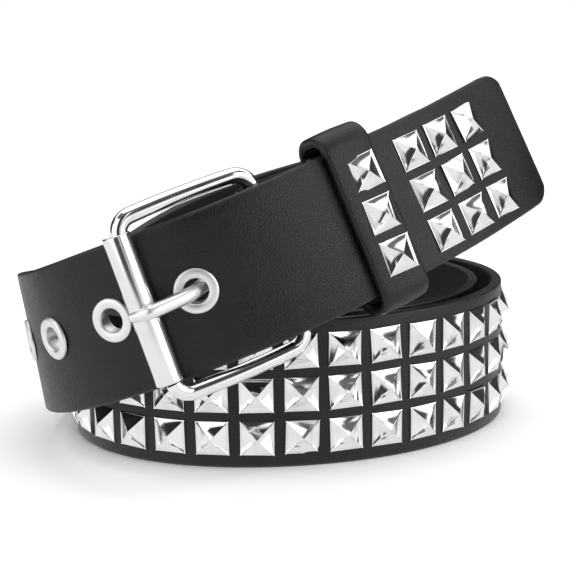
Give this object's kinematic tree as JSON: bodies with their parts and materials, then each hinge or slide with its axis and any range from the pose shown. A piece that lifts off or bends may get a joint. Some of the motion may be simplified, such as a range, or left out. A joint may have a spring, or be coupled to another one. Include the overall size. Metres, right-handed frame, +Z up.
{
  "type": "studded belt",
  "caption": "Coiled black leather belt with rows of pyramid studs, a roller buckle, a keeper loop and eyelet holes, its buckled end drawn over the coil.",
  "frame": {"origin": "centre of the bounding box's base, on the ground under the coil", "axes": "+Z up from the coil's lower edge, -Y toward the buckle and the front of the coil, +X toward the free tip"},
  "size_m": [0.1446, 0.152, 0.0964],
  "materials": {
    "leather": "smooth black coated leather, satin",
    "keeper_leather": "smooth dark grey coated leather, satin",
    "stud_metal": "polished pressed pyramid studs",
    "buckle_metal": "polished wire",
    "roller_metal": "satin rolled sheet",
    "eyelet_metal": "satin pressed ring"
  },
  "bodies": {
    "root": {"strap": "leather", "coil_stud_1_1": "stud_metal", "coil_stud_1_2": "stud_metal", "coil_stud_1_3": "stud_metal", "coil_stud_2_1": "stud_metal", "coil_stud_2_2": "stud_metal", "coil_stud_2_3": "stud_metal", "coil_stud_3_1": "stud_metal", "coil_stud_3_2": "stud_metal", "coil_stud_3_3": "stud_metal", "coil_stud_4_1": "stud_metal", "coil_stud_4_2": "stud_metal", "coil_stud_4_3": "stud_metal", "coil_stud_5_1": "stud_metal", "coil_stud_5_2": "stud_metal", "coil_stud_5_3": "stud_metal", "coil_stud_6_1": "stud_metal", "coil_stud_6_2": "stud_metal", "coil_stud_6_3": "stud_metal", "coil_stud_7_1": "stud_metal", "coil_stud_7_2": "stud_metal", "coil_stud_7_3": "stud_metal", "coil_stud_8_1": "stud_metal", "coil_stud_8_2": "stud_metal", "coil_stud_8_3": "stud_metal", "coil_stud_9_1": "stud_metal", "coil_stud_9_2": "stud_metal", "coil_stud_9_3": "stud_metal", "tip_stud_1_1": "stud_metal", "tip_stud_1_2": "stud_metal", "tip_stud_1_3": "stud_metal", "tip_stud_2_1": "stud_metal", "tip_stud_2_2": "stud_metal", "tip_stud_2_3": "stud_metal", "tip_stud_3_1": "stud_metal", "tip_stud_3_2": "stud_metal", "tip_stud_3_3": "stud_metal", "keeper": "keeper_leather", "keeper_stud_1": "stud_metal", "keeper_stud_2": "stud_metal", "keeper_stud_3": "stud_metal", "eyelet_1": "eyelet_metal", "eyelet_2": "eyelet_metal", "eyelet_3": "eyelet_metal", "eyelet_4": "eyelet_metal", "eyelet_5": "eyelet_metal", "eyelet_6": "eyelet_metal", "buckle_frame": "buckle_metal", "roller": "roller_metal", "prong": "buckle_metal"}
  },
  "joints": []
}
